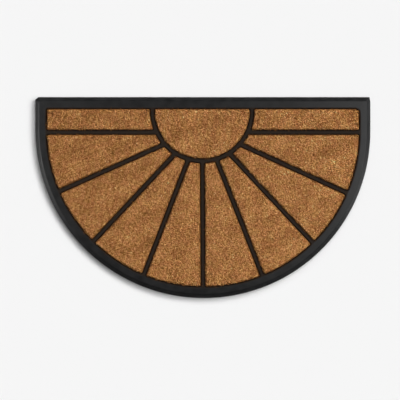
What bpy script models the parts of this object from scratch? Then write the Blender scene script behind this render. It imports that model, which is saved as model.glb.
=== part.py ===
"""Half-round doormat: a moulded rubber tray with a sunburst of ribs, and eleven coir inlays in its pockets.

Metres, +Z up. The mat lies on z = 0 with its straight back edge towards +Y. The origin is under the middle of
its box: x = 0 is halfway along the back edge, and y = 0 is halfway between that edge and the foot of the curve.
"""

import math
import random

import bmesh
import bpy
from mathutils import Matrix, Vector, noise
from mathutils.geometry import delaunay_2d_cdt, intersect_line_sphere_2d

# Overall size: a half circle below a short straight band.
WIDTH = 0.750
DEPTH = 0.450
CURVE_RADIUS = WIDTH / 2
CURVE_CENTRE = Vector((0, CURVE_RADIUS - DEPTH / 2))
BACK_Y = DEPTH / 2
LEFT_CORNER_CUT = Vector((0.0070, 0.0055))
RIGHT_CORNER_CUT = Vector((0.0020, 0.0100))
CURVE_SKEW = 0.0065

# Rubber tray: heights above the ground, then the widths of its border.
LIP = 0.0030
FLOOR = 0.0030
RIB_TOP = 0.0090
BORDER = 0.0244
BACK_BORDER = 0.0255
RAMP = 0.0085
EASE = 0.0009
DRAFT = 0.0010
POCKET_X = WIDTH / 2 - BORDER
POCKET_RADIUS = CURVE_RADIUS - BORDER
POCKET_BACK_Y = BACK_Y - BACK_BORDER

# Sunburst: a ring round the half sun, a level bar each side, and seven rays between them. It sits a little off
# the middle of the mat, and its rays meet the border a little nearer the left.
RIB_WIDTH = 0.0074
RING_CENTRE = Vector((-0.0016, 0.1932))
RING_RADIUS = 0.1115
LAST_RAY = 3
RING_STEP = math.radians(16.2)
BORDER_STEP = math.radians(22.25)
BORDER_TURN = math.radians(-0.3)
BAR = LAST_RAY + 1
BAR_Y = RING_CENTRE.y - RING_RADIUS * math.cos(BAR * RING_STEP)
CORNER_RADIUS = 0.0050
CORNER_STEPS = 3
STRIP_CORNER_CUT = Vector((0.0090, 0.0055))

# Coir pile, proud of the ribs. A row of its shoulder is the share of the run inwards, and the drop.
GAP = 0.0003
PILE_TOP = 0.0123
PILE_LEAN = 0.0002
SHOULDER_RUN = 0.0016
SHOULDER = ((0.0, 0.0016), (0.4, 0.0007), (1.0, 0.0004))
RAGGED = 0.5
LUMP = 0.0004
LUMP_SPAN = 0.040

# How finely the outlines and the pile's top are divided.
ARC_SPACING = 0.012
RIM_SPACING = 0.010
PILE_GRID = 0.015
JITTER = 0.3
MERGE = 1e-7
SHARP = math.radians(30)

RUBBER = {"colour": (0.016, 0.016, 0.017, 1), "roughness": 0.55}
COIR = {"colour": (0.34, 0.155, 0.055, 1), "roughness": 0.95}


def arc(centre, radius, start, end):
    """Points from angle start to angle end, in radians, both ends included."""
    steps = max(2, round(abs(end - start) * radius / ARC_SPACING))
    angles = (start + (end - start) * i / steps for i in range(steps + 1))
    return [centre + radius * Vector((math.cos(a), math.sin(a))) for a in angles]


def arc_between(centre, radius, first, last, turn):
    """The arc from point first to point last, anticlockwise if turn is 1 and clockwise if it is -1."""
    start = math.atan2(first.y - centre.y, first.x - centre.x)
    end = math.atan2(last.y - centre.y, last.x - centre.x)
    sweep = turn * ((turn * (end - start)) % (2 * math.pi))
    return arc(centre, radius, start, start + sweep)


def outer_crossing(point, direction, centre, radius):
    """Where the line from point along direction leaves the circle."""
    near, far = intersect_line_sphere_2d(point, point + direction, centre, radius, False)
    return max((near, far), key=lambda p: (p - point).dot(direction))


def ray_line(number):
    """A ray's start on the ring, its direction and its left normal. Number 0 points straight to the front."""
    on_ring, on_border = number * RING_STEP, number * BORDER_STEP + BORDER_TURN
    start = RING_CENTRE + RING_RADIUS * Vector((math.sin(on_ring), -math.cos(on_ring)))
    if abs(number) == BAR:
        direction = Vector((math.copysign(1, number), 0))
    else:
        end = CURVE_CENTRE + POCKET_RADIUS * Vector((math.sin(on_border), -math.cos(on_border)))
        direction = (end - start).normalized()
    return start, direction, direction.orthogonal()


def side_of_ray(number, side):
    """The two ends of a ray's flank, at the ring and at the border. Side is 1 for its left flank, else -1."""
    start, direction, normal = ray_line(number)
    flank = start + normal * side * RIB_WIDTH / 2
    at_ring = outer_crossing(flank, direction, RING_CENTRE, RING_RADIUS + RIB_WIDTH / 2)
    at_border = outer_crossing(flank, direction, CURVE_CENTRE, POCKET_RADIUS)
    return at_ring, at_border


def ray_pocket(number):
    """The sides of the pocket between ray number and the next one, anticlockwise."""
    ring_a, border_a = side_of_ray(number, 1)
    ring_b, border_b = side_of_ray(number + 1, -1)
    return [
        [ring_a, border_a],
        arc_between(CURVE_CENTRE, POCKET_RADIUS, border_a, border_b, 1),
        [border_b, ring_b],
        arc_between(RING_CENTRE, RING_RADIUS + RIB_WIDTH / 2, ring_b, ring_a, -1),
    ]


def strip_pocket(ring_centre, back_corner):
    """The sides of a right-hand pocket between the level bar and the back border, with its back corner given."""
    radius, low = RING_RADIUS + RIB_WIDTH / 2, BAR_Y + RIB_WIDTH / 2
    ring_low, ring_back = (
        outer_crossing(Vector((ring_centre.x, y)), Vector((1, 0)), ring_centre, radius) for y in (low, POCKET_BACK_Y)
    )
    corners = [ring_low, Vector((POCKET_X, low)), *back_corner, ring_back]
    sides = [[a, b] for a, b in zip(corners, corners[1:])]
    return [*sides, arc_between(ring_centre, radius, ring_back, ring_low, -1)]


def sun_pocket():
    """The sides of the half-sun pocket inside the ring."""
    radius = RING_RADIUS - RIB_WIDTH / 2
    right, left = (
        outer_crossing(Vector((RING_CENTRE.x, POCKET_BACK_Y)), Vector((way, 0)), RING_CENTRE, radius) for way in (1, -1)
    )
    return [arc_between(RING_CENTRE, radius, left, right, 1), [right, left]]


def corner_arc(corner, before, after):
    """Points round a corner of an anticlockwise outline, from its direction before to its direction after."""
    turn = before.angle(after)
    start = corner - before.normalized() * CORNER_RADIUS * math.tan(turn / 2)
    spoke = before.orthogonal().normalized() * -CORNER_RADIUS
    turns = (Matrix.Rotation(turn * i / CORNER_STEPS, 2) for i in range(CORNER_STEPS + 1))
    return [start - spoke + rotation @ spoke for rotation in turns]


def rounded(sides):
    """One closed outline from sides that meet end to end, with its corners rounded."""
    outline = []
    for side, following in zip(sides, sides[1:] + sides[:1]):
        outline += side[1:-1]
        outline += corner_arc(side[-1], side[-1] - side[-2], following[1] - following[0])
    return outline


def mirrored(outline):
    """The outline on the other side of x = 0, still anticlockwise."""
    return [Vector((-p.x, p.y)) for p in reversed(outline)]


def inset(outline, distance):
    """The outline moved inwards by distance, or outwards if it is negative."""
    moved = []
    for before, point, after in zip(outline[-1:] + outline[:-1], outline, outline[1:] + outline[:1]):
        normal_in = (point - before).orthogonal().normalized()
        normal_out = (after - point).orthogonal().normalized()
        mitre = (normal_in + normal_out).normalized()
        moved.append(point + mitre * distance / mitre.dot(normal_in))
    return moved


def subdivided(outline, spacing):
    """The outline with points added along each of its edges that is longer than spacing."""
    finer = []
    for point, after in zip(outline, outline[1:] + outline[:1]):
        parts = max(1, round((after - point).length / spacing))
        finer += [point.lerp(after, i / parts) for i in range(parts)]
    return finer


def new_object(name, mesh, origin, parent=None):
    """An object for a mesh modelled in place, with its own origin at the point given."""
    mesh.transform(Matrix.Translation(-origin))
    obj = bpy.data.objects.new(name, mesh)
    obj.location = origin
    obj.parent = parent
    bpy.context.scene.collection.objects.link(obj)
    return obj


def skewed(point):
    """The mat comes out of its mould with its curve a little to the right of its back edge."""
    return point.x + CURVE_SKEW * max(0, CURVE_CENTRE.y - point.y), point.y


def loft(loops, top=None):
    """A closed solid through outlines of equal length, each given as (points, height), from the bottom up.

    The bottom is one flat face. So is the top, unless top gives its own (points, heights, triangles), whose
    first points are the last outline's.
    """
    bm = bmesh.new()
    rings = [[bm.verts.new((*skewed(p), z)) for p in points] for points, z in loops]
    bm.faces.new(reversed(rings[0]))
    for low, high in zip(rings, rings[1:]):
        for i in range(len(low)):
            bm.faces.new((low[i - 1], low[i], high[i], high[i - 1]))
    if top is None:
        bm.faces.new(rings[-1])
    else:
        points, heights, triangles = top
        inner = zip(points[len(rings[-1]) :], heights[len(rings[-1]) :])
        verts = rings[-1] + [bm.verts.new((*skewed(p), z)) for p, z in inner]
        for triangle in triangles:
            bm.faces.new([verts[i] for i in triangle])
    bmesh.ops.recalc_face_normals(bm, faces=bm.faces)
    mesh = bpy.data.meshes.new("solid")
    bm.to_mesh(mesh)
    bm.free()
    mesh.shade_smooth()
    mesh.set_sharp_from_angle(angle=SHARP)
    return mesh


def tray_outline(inwards):
    """The mat's edge moved inwards, anticlockwise from the curve's left end. The cut corners shrink with it."""
    side, back = WIDTH / 2 - inwards, BACK_Y - inwards
    curve = arc(Vector((0, 0)), CURVE_RADIUS, math.pi, 2 * math.pi)
    left, right = (cut * (1 - inwards / RAMP / 2) for cut in (LEFT_CORNER_CUT, RIGHT_CORNER_CUT))
    return [
        *(CURVE_CENTRE + side / CURVE_RADIUS * p for p in curve),
        Vector((side, back - right.y)),
        Vector((side - right.x, back)),
        Vector((-side + left.x, back)),
        Vector((-side, back - left.y)),
    ]


def tray_blank():
    """The tray before its pockets are cut: a lip, a ramp with eased edges and a flat top."""
    slope = (RIB_TOP - LIP) / RAMP
    profile = [
        (0, 0),
        (0, LIP - EASE / 2),
        (EASE, LIP + EASE * slope),
        (RAMP - EASE, RIB_TOP - EASE * slope),
        (RAMP + EASE, RIB_TOP),
    ]
    return loft([(tray_outline(inwards), height) for inwards, height in profile])


def pocket_cutter(outline):
    """What the mould's block leaves out of the rubber: drafted walls, and a chamfer at the mouth."""
    above = RIB_TOP + EASE
    return loft(
        [
            (inset(outline, DRAFT), FLOOR),
            (outline, RIB_TOP - EASE),
            (inset(outline, -2 * EASE), above),
        ]
    )


def inside(point, outline):
    """True if point lies inside the closed outline, by counting the edges to its right."""
    crossings = 0
    for a, b in zip(outline, outline[1:] + outline[:1]):
        if (a.y > point.y) != (b.y > point.y):
            crossings += point.x < a.x + (point.y - a.y) / (b.y - a.y) * (b.x - a.x)
    return crossings % 2 == 1


def pile_top(rim, chance):
    """Points, heights and triangles of a pile's top: its rim, and a jittered grid of points inside it."""
    xs, ys = ([p[axis] for p in rim] for axis in (0, 1))
    keep_off = inset(rim, PILE_GRID / 3)
    grid = []
    for row in range(math.ceil((max(ys) - min(ys)) / PILE_GRID)):
        for column in range(math.ceil((max(xs) - min(xs)) / PILE_GRID)):
            jitter = Vector((chance.uniform(-JITTER, JITTER), chance.uniform(-JITTER, JITTER)))
            cell = Vector((column + 0.5, row + 0.5))
            point = Vector((min(xs), min(ys))) + PILE_GRID * (cell + jitter)
            if inside(point, keep_off):
                grid.append(point)
    loop = list(range(len(rim)))
    points, _, triangles, *_ = delaunay_2d_cdt(rim + grid, [], [loop], 1, MERGE)
    heights = [PILE_TOP + LUMP * noise.noise((p / LUMP_SPAN).to_3d()) for p in points]
    return points, heights, triangles


def coir_pile(outline, chance):
    """One inlay: walls that clear its pocket, and a ragged, rounded shoulder round a slightly lumpy top."""
    rim = subdivided(outline, RIM_SPACING)
    wall = inset(rim, DRAFT + GAP + PILE_LEAN)
    brow = inset(rim, DRAFT + GAP + PILE_LEAN + SHOULDER_RUN)
    ragged = [p.lerp(q, chance.random() * RAGGED) for p, q in zip(wall, brow)]
    loops = [(inset(rim, DRAFT + GAP), FLOOR + GAP)]
    for share, drop in SHOULDER:
        loops.append(([p.lerp(q, share) for p, q in zip(ragged, brow)], PILE_TOP - drop))
    return loft(loops, pile_top(brow, chance))


def material(name, finish):
    made = bpy.data.materials.new(name)
    made.use_nodes = True
    shader = made.node_tree.nodes["Principled BSDF"]
    shader.inputs["Base Color"].default_value = finish["colour"]
    shader.inputs["Roughness"].default_value = finish["roughness"]
    made.diffuse_color = finish["colour"]
    return made


def pockets():
    """Each inlay's name and its pocket's outline: the sun, then from the left strip round to the right one."""
    corner = Vector((POCKET_X, POCKET_BACK_Y))
    cut_corner = [corner - Vector((0, STRIP_CORNER_CUT.y)), corner - Vector((STRIP_CORNER_CUT.x, 0))]
    left = strip_pocket(Vector((-RING_CENTRE.x, RING_CENTRE.y)), [corner])
    found = {"coir_sun": rounded(sun_pocket()), "coir_strip_left": mirrored(rounded(left))}
    for place, number in enumerate(range(-BAR, BAR), start=1):
        found[f"coir_ray_{place}"] = rounded(ray_pocket(number))
    found["coir_strip_right"] = rounded(strip_pocket(RING_CENTRE, cut_corner))
    return found


def main():
    for obj in list(bpy.data.objects):
        bpy.data.objects.remove(obj)
    rubber, coir = material("rubber", RUBBER), material("coir", COIR)
    tray = new_object("rubber_tray", tray_blank(), Vector((0, 0, 0)))
    tray.data.materials.append(rubber)
    for place, (name, outline) in enumerate(pockets().items()):
        middle = sum(outline, Vector((0, 0))) / len(outline)
        on_floor = Vector((*middle, FLOOR))
        cutter = new_object(f"cut_{name}", pocket_cutter(outline), on_floor, tray)
        cutter.hide_render = True
        cutter.display_type = "WIRE"
        cut = tray.modifiers.new(cutter.name, "BOOLEAN")
        cut.operation = "DIFFERENCE"
        cut.solver = "EXACT"
        cut.object = cutter
        pile = new_object(name, coir_pile(outline, random.Random(place)), on_floor, tray)
        pile.data.materials.append(coir)


main()
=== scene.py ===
import math
from collections import namedtuple

import bmesh
import bpy
import numpy as np
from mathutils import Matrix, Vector


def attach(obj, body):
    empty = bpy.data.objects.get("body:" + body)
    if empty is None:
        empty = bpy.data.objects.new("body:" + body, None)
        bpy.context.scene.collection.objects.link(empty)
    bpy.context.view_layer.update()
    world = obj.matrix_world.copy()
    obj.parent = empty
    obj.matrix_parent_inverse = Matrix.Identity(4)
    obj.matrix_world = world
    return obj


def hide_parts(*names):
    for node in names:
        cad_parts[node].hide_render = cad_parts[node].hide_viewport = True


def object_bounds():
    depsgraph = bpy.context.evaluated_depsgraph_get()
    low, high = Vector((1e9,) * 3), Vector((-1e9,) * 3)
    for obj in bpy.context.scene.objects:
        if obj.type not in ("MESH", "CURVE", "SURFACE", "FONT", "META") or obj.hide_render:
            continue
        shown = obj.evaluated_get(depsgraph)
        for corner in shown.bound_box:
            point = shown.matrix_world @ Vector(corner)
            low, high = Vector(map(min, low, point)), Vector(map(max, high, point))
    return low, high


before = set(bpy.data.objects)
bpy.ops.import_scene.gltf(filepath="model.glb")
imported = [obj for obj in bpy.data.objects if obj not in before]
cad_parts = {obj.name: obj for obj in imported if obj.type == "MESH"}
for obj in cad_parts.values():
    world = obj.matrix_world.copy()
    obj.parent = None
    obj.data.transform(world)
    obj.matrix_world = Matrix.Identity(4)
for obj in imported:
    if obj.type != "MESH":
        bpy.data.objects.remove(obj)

cad_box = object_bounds()


# ---------------------------------------------------------------------------------------------
# The tray: one moulding of black filled rubber, pressed in a heated steel mould. It is the mat's
# border, ribs and base in one piece. The mould leaves soft edges, a fine grain and a low, uneven
# sheen, and brown dust from the coir dulls the ribs and the edges of the eleven pockets.
# ---------------------------------------------------------------------------------------------

WELD = 0.00002
FLAT_ANGLE = math.radians(0.3)
CREASE_ANGLE = math.radians(12)
CREST_STEEPEST = 0.78
CREST_RADIUS = 0.0009
EDGE_RADIUS = 0.0004
EDGE_STEPS = 3
RUBBER_BLACK = (0.0055, 0.0055, 0.0057, 1)
RUBBER_BLOOM = (0.0105, 0.0105, 0.0109, 1)
BLACK_ROUGHNESS = 0.41
BLOOM_ROUGHNESS = 0.49
STREAKS_PER_METRE = 60
STREAK_LENGTHS = (1, 1, 0.2)
STREAK_RANGE = (0.35, 0.65)
MOULD_GRAINS_PER_METRE = 900
MOULD_GRAIN_HEIGHT = 0.0002
MOULD_GRAIN_STRENGTH = 0.25
NOISE_DETAIL = 3
DUST = "clearance"
DUST_RIM = 0.0015
DUST_REACH = 0.0052
DUST_BROWN = (0.0170, 0.0080, 0.0025, 1)
DUSTY_ROUGHNESS = 1.0


def welded(node):
    """The mesh of a CAD node as a bmesh with shared corners."""
    bm = bmesh.new()
    bm.from_mesh(node.data)
    bmesh.ops.remove_doubles(bm, verts=bm.verts, dist=WELD)
    return bm


def creases(bm):
    """The edges where the moulding's surface turns."""
    return [edge for edge in bm.edges if edge.calc_face_angle(0) > CREASE_ANGLE]


def on_crest(edge):
    """Whether an edge lies along the border's crest, between two shallow faces."""
    return min(face.normal.z for face in edge.link_faces) > CREST_STEEPEST


def round_off(bm, edges, radius):
    """Rounds the edges to the radius, or as far as they have room."""
    bmesh.ops.bevel(
        bm,
        geom=edges,
        offset=radius,
        segments=EDGE_STEPS,
        profile=0.5,
        affect="EDGES",
        clamp_overlap=True,
    )


def in_order(bm):
    """Sorts the faces by their first corners, because the rounding leaves them in a chance order."""
    bm.verts.index_update()
    count = len(bm.verts)

    def rank(face):
        first, second, third = sorted(vert.index for vert in face.verts)[:3]
        return (first * count + second) * count + third

    bm.faces.sort(key=rank)


def broad_normal(vert):
    """The corner's normal as its largest faces have it."""
    return sum((face.normal * face.calc_area() for face in vert.link_faces), Vector()).normalized()


def soft_moulding(node):
    """The node's shape, with a broad rounding along the border's crest and a small one on other edges.

    Its normals follow the broad faces, so that only the roundings turn from one face to the next.
    """
    bm = welded(node)
    bmesh.ops.dissolve_limit(bm, angle_limit=FLAT_ANGLE, verts=bm.verts, edges=bm.edges)
    round_off(bm, [edge for edge in creases(bm) if on_crest(edge)], CREST_RADIUS)
    round_off(bm, creases(bm), EDGE_RADIUS)
    bmesh.ops.triangulate(bm, faces=[face for face in bm.faces if len(face.verts) > 4])
    in_order(bm)
    bm.normal_update()
    normals = [broad_normal(vert) for vert in bm.verts]
    mesh = bpy.data.meshes.new("tray")
    bm.to_mesh(mesh)
    bm.free()
    mesh.shade_smooth()
    mesh.normals_split_custom_set_from_vertices(normals)
    return mesh


def dress(name, mesh, finish, node):
    """A piece that stands for one CAD node and rides with the mat."""
    piece = bpy.data.objects.new(name, mesh)
    bpy.context.scene.collection.objects.link(piece)
    mesh.materials.append(finish)
    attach(piece, "root")
    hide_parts(node)
    return piece


def finish_tree(name):
    """A new node material: its nodes, its links and its shader."""
    material = bpy.data.materials.new(name)
    material.use_nodes = True
    tree = material.node_tree
    return material, tree.nodes, tree.links, tree.nodes["Principled BSDF"]


def grain(nodes, links, per_metre, stretch=(1, 1, 1)):
    """Noise in the mat's own space, with about so many grains to the metre."""
    place = nodes.new("ShaderNodeTexCoord")
    mapping = nodes.new("ShaderNodeMapping")
    mapping.inputs["Scale"].default_value = stretch
    links.new(place.outputs["Object"], mapping.inputs["Vector"])
    noise = nodes.new("ShaderNodeTexNoise")
    noise.inputs["Scale"].default_value = per_metre
    noise.inputs["Detail"].default_value = NOISE_DETAIL
    links.new(mapping.outputs["Vector"], noise.inputs["Vector"])
    return noise.outputs["Fac"]


def ranged(nodes, links, value, start, end, low, high):
    """The value, which runs from start to end, spread over low to high."""
    spread = nodes.new("ShaderNodeMapRange")
    spread.inputs["From Min"].default_value = start
    spread.inputs["From Max"].default_value = end
    spread.inputs["To Min"].default_value = low
    spread.inputs["To Max"].default_value = high
    links.new(value, spread.inputs["Value"])
    return spread.outputs["Result"]


def blended(nodes, links, factor):
    """A colour mixer from A to B by the factor."""
    mixer = nodes.new("ShaderNodeMix")
    mixer.data_type = "RGBA"
    links.new(factor, mixer.inputs["Factor"])
    return mixer


def rubber_finish():
    """Black rubber with a faint bloom in streaks, brown dust beside the coir, and the mould's grain."""
    material, nodes, links, shader = finish_tree("moulded_rubber")
    flow = grain(nodes, links, STREAKS_PER_METRE, STREAK_LENGTHS)
    streaks = ranged(nodes, links, flow, *STREAK_RANGE, 0, 1)
    bloom = blended(nodes, links, streaks)
    bloom.inputs["A"].default_value = RUBBER_BLACK
    bloom.inputs["B"].default_value = RUBBER_BLOOM
    clearance = nodes.new("ShaderNodeAttribute")
    clearance.attribute_name = DUST
    dust = ranged(nodes, links, clearance.outputs["Fac"], DUST_RIM, DUST_REACH, 1, 0)
    dusty = blended(nodes, links, dust)
    links.new(bloom.outputs["Result"], dusty.inputs["A"])
    dusty.inputs["B"].default_value = DUST_BROWN
    links.new(dusty.outputs["Result"], shader.inputs["Base Color"])
    haze = ranged(nodes, links, streaks, 0, 1, BLACK_ROUGHNESS, BLOOM_ROUGHNESS)
    dull = nodes.new("ShaderNodeMix")
    links.new(dust, dull.inputs["Factor"])
    links.new(haze, dull.inputs["A"])
    dull.inputs["B"].default_value = DUSTY_ROUGHNESS
    links.new(dull.outputs["Result"], shader.inputs["Roughness"])
    bump = nodes.new("ShaderNodeBump")
    bump.inputs["Strength"].default_value = MOULD_GRAIN_STRENGTH
    bump.inputs["Distance"].default_value = MOULD_GRAIN_HEIGHT
    links.new(grain(nodes, links, MOULD_GRAINS_PER_METRE), bump.inputs["Height"])
    links.new(bump.outputs["Normal"], shader.inputs["Normal"])
    return material


tray_shape = soft_moulding(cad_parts["rubber_tray"])
tray = dress("tray", tray_shape, rubber_finish(), "rubber_tray")


# ---------------------------------------------------------------------------------------------
# The coir: eleven inlays of coconut fibre, cut to the pockets' shapes and fixed in them. The fibres
# stand on end in packed tufts, cut level a little above the ribs. Beside a pocket's wall they slump
# and sprawl unevenly, and they run from dark brown through ginger to pale straw. Painted shade
# darkens them by the wall, at their roots and on the bed below, and painted light makes them paler
# towards the right.
# ---------------------------------------------------------------------------------------------

WALL_STEEPNESS = 0.5
NEAREST = 1e-9
WAVES = 8
WAVES_PER_SPAN = (0.7, 1.6)
MIDDLE = 0.5

BED_TOP = 0.0094
BED_EDGE = 0.0064
BED_RUN = 0.0018
BED_SEED = 100
PILE_TOP = 0.0122
PILE_UNEVEN = 0.00025
PILE_SWELL = 0.0003
PILE_SWELL_SPAN = 0.030
SUNK = 0.0006

TUFT_PITCH = 0.0026
TUFT_JITTER = 0.33
TUFT_RADIUS = 0.0012
TUFT_LEAN = 0.12
TUFT_FIBRES = 6
CROWN_SIDES = 6
CROWN_RADIUS = 0.0018
CROWN_UNEVEN = (0.8, 1.2)
CROWN_SUNK = 0.3
CROWN_DROP = 0.0008
CROWN_OFF_CENTRE = 0.35
FIBRE_SIDES = 3
FIBRE_RADIUS = 0.00022
FIBRE_THICKNESSES = (0.7, 1.3)
FIBRE_UNEVEN = 0.0002
SPLAY = 0.30
STRAY_LEAN = 0.22

RIM_DEPTH = 0.0018
RIM_REACH = 0.0036
RIM_GAP = 0.6
RIM_JITTER = 0.3
RIM_RAGGED = 0.0014
RIM_NICK = 0.0005
RIM_SPAN = 0.014
RIM_SEED = 7
RIM_CLOSEST = 0.0007
RIM_SPARE = 0.9
RIM_DROP = 0.0005
# Painted shade: the tufts along the rim are painted darker as they slump, for the shade at the pocket's
# edge.
RIM_PAINTED_SHADE = 0.30
RIM_LEAN = 0.20
RIM_LEAN_MIDDLE = 0.6
RIM_LEAN_SWING = 1.8
# Painted shade: the pile and its bed are painted darker next to a pocket's wall, where the groove lies
# in shade.
WALL_PAINTED_SHADE = 0.6
WALL_REACH = 0.0018

TUFT_SHADE_SPREAD = 0.11
FIBRE_SHADE_SPREAD = 0.12
FIBRE_TONE_SPREAD = 0.25
FINE_SHADE = 0.08
FINE_SPAN = 0.006
FINE_SEED = 20
PATCH_SHADE = 0.10
PATCH_SPAN = 0.012
BROAD_SHADE = 0.08
BROAD_SPAN = 0.060
BROAD_SEED = 5
# Painted light: the coir is painted paler towards the right, where the light falls brighter.
PAINTED_LIGHT_RIGHT = 0.18
TONE_SWING = 0.08
TONE_SPAN = 0.025
TONE_SEED = 50

CHART = "OFBake"
CHART_BANDS = 4
CHART_MARGIN = 0.1
CHART_WIDTH = 0.008
CHART_EDGE = 0.01
# A corner's height on the chart sets its painted shade: fibre roots, crown feet and the bed are painted
# darker, and tips keep their full colour.
FIBRE_HEIGHTS = [0] * FIBRE_SIDES + [1]
FIBRE_SIDEWAYS = [-1, 0, 1, 0]
CROWN_HEIGHTS = [0] * CROWN_SIDES + [0.9]
CROWN_SIDEWAYS = [1, 0.5, -0.5, -1, -0.5, 0.5, 0]
# Painted shade: the bed beneath the tufts is painted dark, and sits low on the chart so that the roots'
# painted shade darkens it too.
BED_HEIGHT = 0.3
BED_PAINTED_SHADES = (0.1, 0.3)
COIR_SHADES = [
    (0.00, (0.190, 0.077, 0.020, 1)),
    (0.30, (0.445, 0.204, 0.060, 1)),
    (0.55, (0.714, 0.372, 0.134, 1)),
    (0.80, (0.928, 0.574, 0.237, 1)),
    (1.00, (0.946, 0.920, 0.457, 1)),
]
# Painted shade: the coir is painted darker towards its roots, down among the tufts where shade falls.
PAINTED_ROOT_SHADE = [
    (0.10, (0.60, 0.55, 0.50, 1)),
    (0.75, (1, 1, 1, 1)),
]
TONE_HUES = (0.486, 0.514)
COIR_ROUGHNESS = 0.75
COIR_SPECULAR = 0.3
DUST_BATCHES = 20

Tufts = namedtuple("Tufts", "place top slump shade tone")


def wall_line(bm):
    """The foot of an inlay's wall, as an array of segments seen from above."""
    low = min(v.co.z for v in bm.verts)
    segments = []
    for edge in bm.edges:
        on_foot = all(v.co.z < low + WELD for v in edge.verts)
        if on_foot and any(abs(f.normal.z) < WALL_STEEPNESS for f in edge.link_faces):
            segments.append([v.co.xy for v in edge.verts])
    return np.array(segments)


def depth_inside(points, segments):
    """How deep each point lies inside the wall line, or less than 0 outside it, and the way to it."""
    a, b = segments[:, 0], segments[:, 1]
    along = b - a
    from_a = points[:, None] - a
    share = (from_a * along).sum(2) / (along**2).sum(1)
    nearest = a + share.clip(0, 1)[..., None] * along
    way = nearest - points[:, None]
    distance = np.linalg.norm(way, axis=2)
    closest = distance.argmin(1)
    pick = np.arange(len(points)), closest
    crosses = (a[:, 1] > points[:, None, 1]) != (b[:, 1] > points[:, None, 1])
    rise = np.where(along[:, 1] == 0, 1, along[:, 1])
    crossing_x = a[:, 0] + (points[:, None, 1] - a[:, 1]) / rise * along[:, 0]
    inside = (crosses & (points[:, None, 0] < crossing_x)).sum(1) % 2 == 1
    depth = np.where(inside, 1, -1) * distance[pick]
    outward = way[pick] / np.maximum(distance[pick], NEAREST)[:, None]
    return depth, np.where(inside[:, None], outward, -outward)


def wander(points, span, seed):
    """A smooth random value from about -1 to 1 at each point, which changes over about span metres."""
    rng = np.random.default_rng(seed)
    total = np.zeros(len(points))
    for _ in range(WAVES):
        turn, phase = rng.uniform(0, 2 * math.pi, 2)
        wave = rng.uniform(*WAVES_PER_SPAN) * 2 * math.pi / span
        total += np.sin(wave * (points @ (math.cos(turn), math.sin(turn))) + phase)
    return 2 * total / WAVES


def bed_height(depth):
    """The tangled bed that the tufts stand in falls away to the wall."""
    return BED_EDGE + (BED_TOP - BED_EDGE) * (depth / BED_RUN).clip(0, 1)


def tuft_places(segments, rng):
    """Where an inlay's tufts stand: a jittered staggered grid, and a ragged row along the rim."""
    low, high = segments.min((0, 1)), segments.max((0, 1))
    rows = np.arange(low[1], high[1], TUFT_PITCH * math.sqrt(3) / 2)
    columns = np.arange(low[0], high[0], TUFT_PITCH)
    x, y = np.meshgrid(columns, rows)
    x[1::2] += TUFT_PITCH / 2
    grid = np.stack([x.ravel(), y.ravel()], 1)
    grid += rng.uniform(-TUFT_JITTER, TUFT_JITTER, grid.shape) * TUFT_PITCH
    grid = grid[depth_inside(grid, segments)[0] > RIM_DEPTH + RIM_GAP * TUFT_PITCH]
    row = []
    for a, b in segments:
        count = max(1, round(np.linalg.norm(b - a) / TUFT_PITCH))
        row += [a + (b - a) * (i + 0.5) / count for i in range(count)]
    row = np.array(row)
    row += rng.uniform(-RIM_JITTER, RIM_JITTER, row.shape) * TUFT_PITCH
    depth, outward = depth_inside(row, segments)
    ragged = RIM_DEPTH + RIM_RAGGED * wander(row, RIM_SPAN, RIM_SEED)
    ragged += rng.uniform(-RIM_NICK, RIM_NICK, len(row))
    row += outward * (depth - ragged.clip(RIM_CLOSEST))[:, None]
    row = row[depth_inside(row, segments)[0] > RIM_SPARE * RIM_CLOSEST]
    return np.concatenate([grid, row])


def rim_slump(depth):
    """From 1 in the row along the wall to 0 where the pile stands at its full height."""
    return (1 - (depth - RIM_DEPTH) / (RIM_REACH - RIM_DEPTH)).clip(0, 1)


def inlay_tufts(segments, seed, rng):
    """An inlay's tufts: where each stands, how high, how far it slumps, and its shade and tone."""
    place = tuft_places(segments, rng)
    slump = rim_slump(depth_inside(place, segments)[0])
    top = PILE_TOP + rng.normal(0, PILE_UNEVEN, len(place))
    top += PILE_SWELL * wander(place, PILE_SWELL_SPAN, seed)
    top -= RIM_DROP * slump**2
    # Painted shade: the slumped tufts along the rim are painted darker.
    shade = MIDDLE + rng.normal(0, TUFT_SHADE_SPREAD, len(place)) - RIM_PAINTED_SHADE * slump
    shade += FINE_SHADE * wander(place, FINE_SPAN, seed + FINE_SEED)
    shade += PATCH_SHADE * wander(place, PATCH_SPAN, seed)
    shade += BROAD_SHADE * wander(place, BROAD_SPAN, BROAD_SEED)
    # Painted light: tufts are painted paler the further right they stand.
    shade += PAINTED_LIGHT_RIGHT * place[:, 0]
    tone = MIDDLE + TONE_SWING * wander(place, TONE_SPAN, seed + TONE_SEED)
    return Tufts(place, top, slump, shade, tone)


def painted_wall_shade(depth):
    """How much darker the pile is painted next to the wall: painted shade for the shaded groove there.
    """
    return WALL_PAINTED_SHADE * (1 - depth / WALL_REACH).clip(0, 1)


def on_chart(shade, height, tone, sideways):
    """A corner's place on the colour chart: across by its shade, up by its height in its tone's band.

    The corners of a triangle lie a little apart sideways, so that it has some width on the chart.
    """
    band = (tone * CHART_BANDS).astype(int).clip(0, CHART_BANDS - 1)
    across = (shade + CHART_WIDTH * sideways).clip(CHART_EDGE, 1 - CHART_EDGE)
    up = band + CHART_MARGIN + (1 - 2 * CHART_MARGIN) * height
    return np.stack([across, up / CHART_BANDS], 1)


def fans(count, sides):
    """Triangles from each shape's foot, which has so many corners, up to the tip that follows them."""
    first = (sides + 1) * np.arange(count)[:, None]
    return np.stack([first + (k, (k + 1) % sides, sides) for k in range(sides)], 1).reshape(-1, 3)


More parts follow.
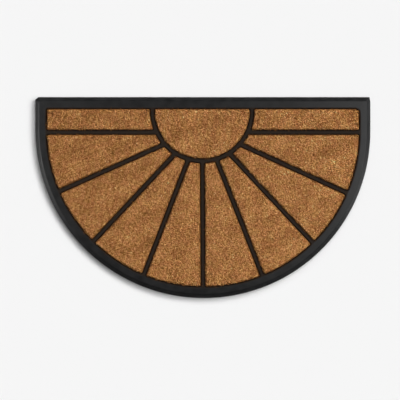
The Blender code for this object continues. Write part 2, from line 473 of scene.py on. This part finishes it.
def spikes(roots, tips, rng):
    """One three-sided tapering spike for each fibre: corners and triangles."""
    axis = tips - roots
    axis /= np.linalg.norm(axis, axis=1)[:, None]
    side = np.cross(axis, (0, 1, 0))
    side /= np.linalg.norm(side, axis=1)[:, None]
    other = np.cross(axis, side)
    radius = FIBRE_RADIUS * rng.uniform(*FIBRE_THICKNESSES, len(roots))[:, None]
    step = 2 * math.pi / FIBRE_SIDES
    start = rng.uniform(0, 2 * math.pi, len(roots))
    corners = []
    for k in range(FIBRE_SIDES):
        angle = (start + k * step)[:, None]
        corners.append(roots + radius * (np.cos(angle) * side + np.sin(angle) * other))
    corners.append(tips)
    return np.stack(corners, 1).reshape(-1, 3), fans(len(roots), FIBRE_SIDES)


def standing_fibres(tufts, segments, rng):
    """The loose fibres of each tuft, splayed apart: corners, triangles and places on the chart.

    Beside the wall they lean out over the rubber in some stretches and stand back in others.
    """
    tuft = np.repeat(np.arange(len(tufts.place)), TUFT_FIBRES)
    count = len(tuft)
    turn = rng.uniform(0, 2 * math.pi, count)
    away = np.sqrt(rng.random(count))[:, None] * np.stack([np.cos(turn), np.sin(turn)], 1)
    root = tufts.place[tuft] + TUFT_RADIUS * away
    depth, outward = depth_inside(root, segments)
    root += outward * np.minimum(depth - SUNK, 0)[:, None]
    lean = SPLAY * away + rng.normal(0, TUFT_LEAN, tufts.place.shape)[tuft]
    lean += rng.normal(0, STRAY_LEAN, (count, 2))
    sprawl = RIM_LEAN_MIDDLE - RIM_LEAN_SWING * wander(tufts.place, RIM_SPAN, RIM_SEED)
    lean += outward * (RIM_LEAN * tufts.slump * sprawl)[tuft][:, None]
    root_z = bed_height(depth) - SUNK
    tip_z = tufts.top[tuft] + rng.normal(0, FIBRE_UNEVEN, count)
    tip = root + lean * (tip_z - root_z)[:, None]
    corners, triangles = spikes(np.column_stack([root, root_z]), np.column_stack([tip, tip_z]), rng)
    # Painted shade: fibres next to the wall are painted darker.
    shade = tufts.shade[tuft] + rng.normal(0, FIBRE_SHADE_SPREAD, count) - painted_wall_shade(depth)
    tone = tufts.tone[tuft] + rng.normal(0, FIBRE_TONE_SPREAD, count)
    places = on_chart(
        np.repeat(shade.clip(0, 1), FIBRE_SIDES + 1),
        np.tile(FIBRE_HEIGHTS, count),
        np.repeat(tone, FIBRE_SIDES + 1),
        np.tile(FIBRE_SIDEWAYS, count),
    )
    return corners, triangles, places


def crowns(tufts, segments, rng):
    """One low crown for each tuft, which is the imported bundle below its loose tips.

    Like the fibres, they come as corners, triangles and places on the chart.
    """
    count = len(tufts.place)
    step = 2 * math.pi / CROWN_SIDES
    start = rng.uniform(0, step, count)
    rings = []
    depths = []
    for k in range(CROWN_SIDES):
        angle = start + k * step
        radius = CROWN_RADIUS * rng.uniform(*CROWN_UNEVEN, count)
        ring = tufts.place + radius[:, None] * np.stack([np.cos(angle), np.sin(angle)], 1)
        depth, outward = depth_inside(ring, segments)
        ring += outward * np.minimum(depth - SUNK, 0)[:, None]
        rings.append(np.column_stack([ring, bed_height(depth) - CROWN_SUNK * SUNK]))
        depths.append(depth)
    apex = tufts.place + rng.normal(0, CROWN_OFF_CENTRE * CROWN_RADIUS, tufts.place.shape)
    rings.append(np.column_stack([apex, tufts.top - CROWN_DROP]))
    depths.append(np.full(count, WALL_REACH))
    # Painted shade: the crowns' corners next to the wall are painted darker.
    shade = np.repeat(tufts.shade, CROWN_SIDES + 1) - painted_wall_shade(np.stack(depths, 1).ravel())
    places = on_chart(
        shade.clip(0, 1),
        np.tile(CROWN_HEIGHTS, count),
        np.repeat(tufts.tone, CROWN_SIDES + 1),
        np.tile(CROWN_SIDEWAYS, count),
    )
    return np.stack(rings, 1).reshape(-1, 3), fans(count, CROWN_SIDES), places


def bed(bm, segments, seed):
    """The inlay's own shape, cut off below its tips and worn down towards the wall."""
    rng = np.random.default_rng(seed)
    bmesh.ops.triangulate(bm, faces=bm.faces)
    bm.verts.index_update()
    corners = np.array([v.co for v in bm.verts])
    depth = depth_inside(corners[:, :2], segments)[0]
    corners[:, 2] = np.minimum(corners[:, 2], bed_height(depth))
    triangles = np.array([[v.index for v in f.verts] for f in bm.faces])
    # Painted shade: the bed is painted dark, for the shade beneath the tufts, and darker still next to
    # the wall.
    shade = (rng.uniform(*BED_PAINTED_SHADES, len(corners)) - painted_wall_shade(depth)).clip(0, 1)
    height = rng.uniform(0, BED_HEIGHT, len(corners))
    tone = np.full(len(corners), MIDDLE)
    sideways = rng.uniform(-1, 1, len(corners))
    return corners, triangles, on_chart(shade, height, tone, sideways)


def joined_mesh(name, shapes):
    """One mesh of the shapes, each of them corners, triangles and places on the colour chart."""
    starts = np.cumsum([0] + [len(corners) for corners, _, _ in shapes])
    corners = np.concatenate([shape[0] for shape in shapes])
    triangles = np.concatenate([shape[1] + start for shape, start in zip(shapes, starts)])
    triangles = triangles.astype(np.int32).ravel()
    places = np.concatenate([shape[2] for shape in shapes])[triangles]
    mesh = bpy.data.meshes.new(name)
    mesh.vertices.add(len(corners))
    mesh.vertices.foreach_set("co", corners.ravel())
    mesh.loops.add(triangles.size)
    mesh.loops.foreach_set("vertex_index", triangles)
    mesh.polygons.add(triangles.size // 3)
    mesh.polygons.foreach_set("loop_start", np.arange(0, triangles.size, 3, dtype=np.int32))
    mesh.update(calc_edges=True)
    mesh.uv_layers.new(name=CHART).uv.foreach_set("vector", places.astype(np.float32).ravel())
    mesh.shade_flat()
    return mesh


def inlay_mesh(name, bm, segments, seed):
    """One inlay: its bed, and the fibres and crowns of its tufts."""
    rng = np.random.default_rng(seed)
    tufts = inlay_tufts(segments, seed, rng)
    fibres = standing_fibres(tufts, segments, rng)
    bundles = crowns(tufts, segments, rng)
    return joined_mesh(name, [bed(bm, segments, seed + BED_SEED), fibres, bundles])


def worked_out(nodes, links, operation, value, factor=None):
    """The value after one step of arithmetic."""
    step = nodes.new("ShaderNodeMath")
    step.operation = operation
    links.new(value, step.inputs[0])
    if factor is not None:
        step.inputs[1].default_value = factor
    return step.outputs["Value"]


def coloured(nodes, links, value, stops):
    """The value turned to a colour by a ramp, whose stops are each a position and a colour."""
    ramp = nodes.new("ShaderNodeValToRGB")
    elements = ramp.color_ramp.elements
    for position, _ in stops[2:]:
        elements.new(position)
    for element, (position, colour) in zip(elements, stops):
        element.position = position
        element.color = colour
    links.new(value, ramp.inputs["Fac"])
    return ramp.outputs["Color"]


def coir_finish():
    """Coir coloured from its chart: dark to straw across, in bands of tone, each with painted shade
    towards the root.
    """
    material, nodes, links, shader = finish_tree("coir_fibre")
    chart = nodes.new("ShaderNodeUVMap")
    chart.uv_map = CHART
    place = nodes.new("ShaderNodeSeparateXYZ")
    links.new(chart.outputs["UV"], place.inputs["Vector"])
    bands = worked_out(nodes, links, "MULTIPLY", place.outputs["Y"], CHART_BANDS)
    tone = worked_out(nodes, links, "FLOOR", bands)
    height = worked_out(nodes, links, "FRACT", bands)
    toned = nodes.new("ShaderNodeHueSaturation")
    links.new(ranged(nodes, links, tone, 0, CHART_BANDS - 1, *TONE_HUES), toned.inputs["Hue"])
    links.new(coloured(nodes, links, place.outputs["X"], COIR_SHADES), toned.inputs["Color"])
    shaded = nodes.new("ShaderNodeMix")
    shaded.data_type = "RGBA"
    shaded.blend_type = "MULTIPLY"
    shaded.inputs["Factor"].default_value = 1
    links.new(toned.outputs["Color"], shaded.inputs["A"])
    links.new(coloured(nodes, links, height, PAINTED_ROOT_SHADE), shaded.inputs["B"])
    links.new(shaded.outputs["Result"], shader.inputs["Base Color"])
    shader.inputs["Roughness"].default_value = COIR_ROUGHNESS
    shader.inputs["Specular IOR Level"].default_value = COIR_SPECULAR
    return material


def dusted(mesh, walls):
    """Keeps at each of the tray's corners how far off the nearest pocket is, for the dust beside it."""
    corners = np.array([v.co.xy for v in mesh.vertices])
    clearance = [-depth_inside(some, walls)[0] for some in np.array_split(corners, DUST_BATCHES)]
    dust = mesh.attributes.new(DUST, "FLOAT", "POINT")
    dust.data.foreach_set("value", np.concatenate(clearance))


coir = coir_finish()
walls = []
for seed, name in enumerate(sorted(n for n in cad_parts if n.startswith("coir_"))):
    bm = welded(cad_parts[name])
    walls.append(wall_line(bm))
    mesh = inlay_mesh(name.replace("coir", "pile"), bm, walls[-1], seed)
    dress(mesh.name, mesh, coir, name)
    bm.free()
dusted(tray_shape, np.concatenate(walls))


# ---------------------------------------------------------------------------------------------
# The studio: a pale floor, an even fill, a broad soft key from the upper right, polarised so that
# it leaves no glare on the rubber, panels that give the rubber its sheen, and the camera overhead.
# ---------------------------------------------------------------------------------------------

FLOOR_SIZE = 12
FLOOR_GREY = (0.86, 0.86, 0.86, 1)
FLOOR_ROUGHNESS = 0.9
FILL = 0.200
KEY_POWER = 1.505
KEY_BEARING = 38
KEY_LAMPS = 7
KEY_STEP = 20
KEY_SPREAD = 61
KEY_RISE = 22
KEY_SOFTNESS = math.radians(11)
PANEL_SIZE = 0.5
PANELS = [
    ("left", (-1.3, 0.0, 0.8), 6.3),
    ("left_low", (-1.3, -0.3, 0.4), 1.2),
    ("left_back", (-0.8, 0.5, 1.4), 2.0),
    ("right", (0.8, 0.1, 1.4), 6.0),
    ("right_low", (1.3, -0.3, 0.4), 2.1),
    ("right_back", (0.8, 0.5, 0.4), 0.8),
]
VIEW_CENTRE = (-0.0064, -0.0054)
VIEW_WIDTH = 0.8930
LENS = 135
SENSOR = 36

floor_mesh = bpy.data.meshes.new("floor")
half = FLOOR_SIZE / 2
floor_corners = [(-half, -half, 0), (half, -half, 0), (half, half, 0), (-half, half, 0)]
floor_mesh.from_pydata(floor_corners, [], [(0, 1, 2, 3)])
floor = bpy.data.objects.new("floor", floor_mesh)
bpy.context.scene.collection.objects.link(floor)
floor_material, _, _, floor_shader = finish_tree("studio_floor")
floor_shader.inputs["Base Color"].default_value = FLOOR_GREY
floor_shader.inputs["Roughness"].default_value = FLOOR_ROUGHNESS
floor_shader.inputs["Specular IOR Level"].default_value = 0
floor_mesh.materials.append(floor_material)

world = bpy.data.worlds.new("studio")
world.use_nodes = True
world.node_tree.nodes["Background"].inputs["Color"].default_value = (1, 1, 1, 1)
world.node_tree.nodes["Background"].inputs["Strength"].default_value = FILL
bpy.context.scene.world = world
world.cycles_visibility.glossy = False

for step in range(KEY_LAMPS):
    turn = (step - KEY_LAMPS // 2) * KEY_STEP
    data = bpy.data.lights.new("key", "SUN")
    data.energy = KEY_POWER * math.exp(-((turn / KEY_SPREAD) ** 2))
    data.angle = KEY_SOFTNESS
    key = bpy.data.objects.new("key", data)
    key.rotation_euler = (0, math.radians(90 - KEY_RISE), math.radians(KEY_BEARING + turn))
    key.visible_glossy = False
    bpy.context.scene.collection.objects.link(key)

for name, place, power in PANELS:
    data = bpy.data.lights.new(f"panel_{name}", "AREA")
    data.size = PANEL_SIZE
    data.energy = power
    panel = bpy.data.objects.new(f"panel_{name}", data)
    panel.location = place
    panel.rotation_euler = Vector(place).to_track_quat("Z", "Y").to_euler()
    panel.visible_diffuse = False
    bpy.context.scene.collection.objects.link(panel)

camera_data = bpy.data.cameras.new("camera")
camera_data.lens = LENS
camera_data.sensor_width = SENSOR
camera = bpy.data.objects.new("camera", camera_data)
camera.location = (*VIEW_CENTRE, cad_box[1][2] + VIEW_WIDTH * LENS / SENSOR)
bpy.context.scene.collection.objects.link(camera)
bpy.context.scene.camera = camera
bpy.context.scene.view_settings.view_transform = "Standard"
